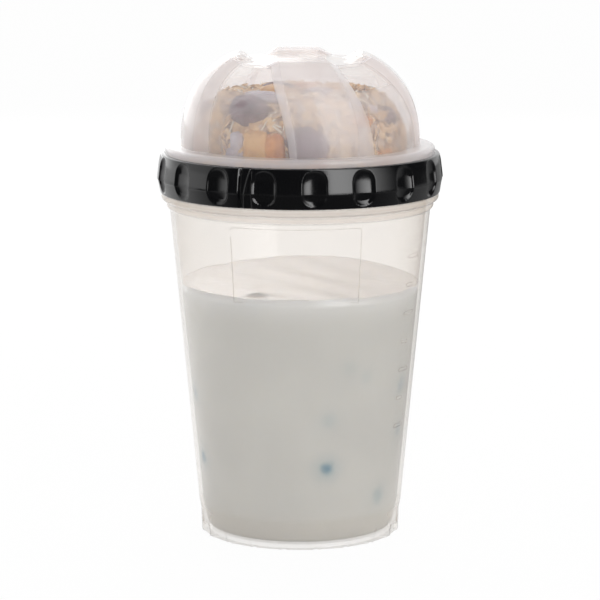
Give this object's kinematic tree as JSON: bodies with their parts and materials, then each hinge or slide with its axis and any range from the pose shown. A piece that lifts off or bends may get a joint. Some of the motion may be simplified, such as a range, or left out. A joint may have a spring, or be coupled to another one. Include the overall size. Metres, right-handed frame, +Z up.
{
  "type": "yogurt container",
  "caption": "Clear tapered cup of yogurt with berries, closed by a black clamping ring and a clear domed compartment full of muesli.",
  "frame": {"origin": "middle of the foot ring's underside, on the surface that the cup stands on", "axes": "+Z up along the cup's axis, the front of the pack faces -Y"},
  "size_m": [0.0996, 0.0996, 0.1695],
  "materials": {
    "clear_cup": "clear, slightly milky moulded polypropylene",
    "clear_dome": "clear, slightly milky moulded polypropylene with light gloss",
    "clear_divider": "milky moulded polypropylene",
    "black_ring": "glossy black, very finely grained",
    "yogurt": "smooth, wet, slightly grey cream",
    "muesli": "toasted oat flakes, dried fruit and seeds"
  },
  "bodies": {
    "root": {"cup": "clear_cup", "yogurt": "yogurt", "grip_ring": "black_ring", "divider": "clear_divider", "dome": "clear_dome", "muesli": "muesli"}
  },
  "joints": []
}
